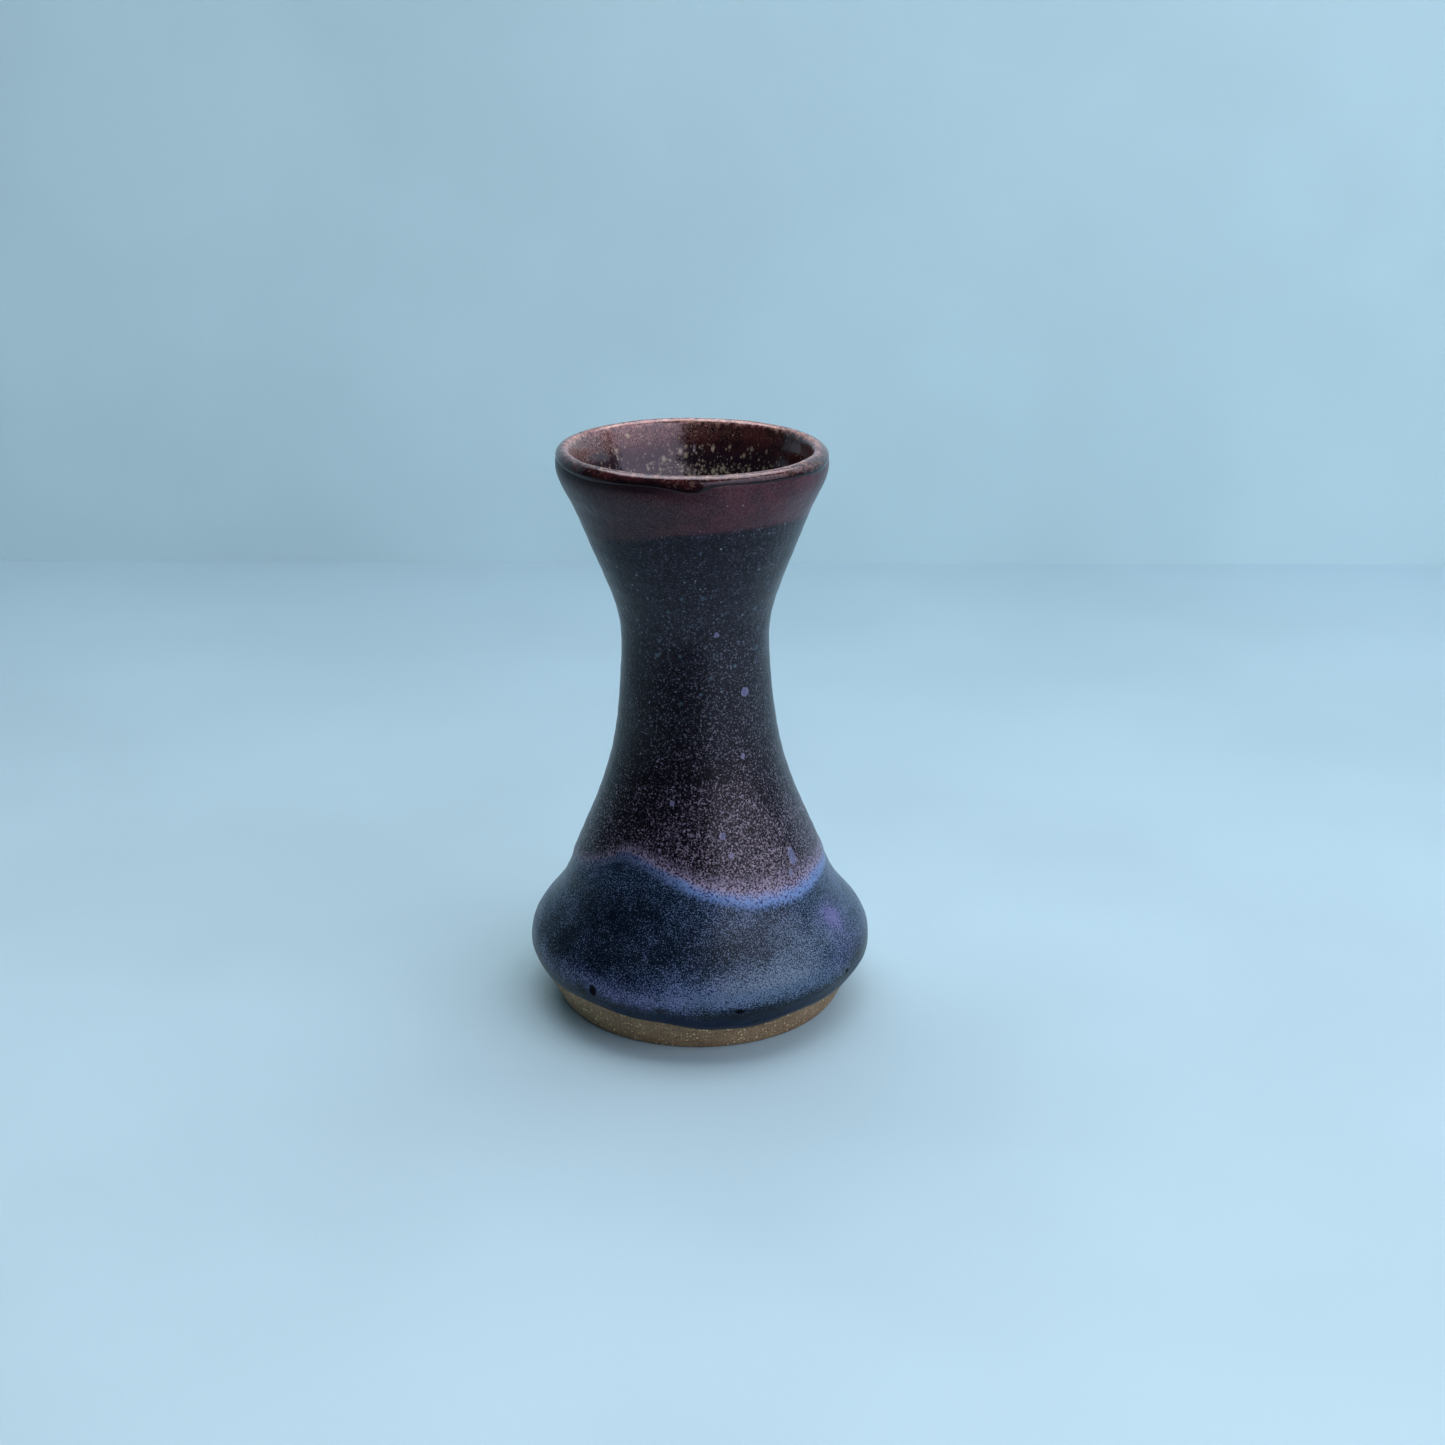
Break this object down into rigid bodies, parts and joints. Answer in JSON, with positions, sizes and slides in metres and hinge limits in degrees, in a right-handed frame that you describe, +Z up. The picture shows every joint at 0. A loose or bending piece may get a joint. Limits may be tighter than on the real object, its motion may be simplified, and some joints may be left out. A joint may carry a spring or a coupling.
{
  "type": "bud vase",
  "caption": "Small wheel-thrown ceramic bud vase with a wide belly, a narrow waisted neck and a flared rim, glazed plum over blue above a bare clay foot.",
  "frame": {"origin": "centre of the foot, on the surface the vase stands on", "axes": "+Z up along the axis of the vase; -Y towards its front, where the plum glaze runs lowest just right of the middle"},
  "size_m": [0.0702, 0.0702, 0.115],
  "materials": {
    "clay": "matte",
    "blue_glaze": "satin",
    "overlap_glaze": "satin",
    "plum_glaze": "satin",
    "red_plum_glaze": "satin",
    "lip_glaze": "gloss",
    "liner_glaze": "gloss"
  },
  "bodies": {
    "root": {"clay_body": "clay", "skirt_glaze": "blue_glaze", "overlap_glaze": "overlap_glaze", "neck_glaze": "plum_glaze", "collar_glaze": "red_plum_glaze", "lip_glaze": "lip_glaze", "liner_glaze": "liner_glaze"}
  },
  "joints": []
}
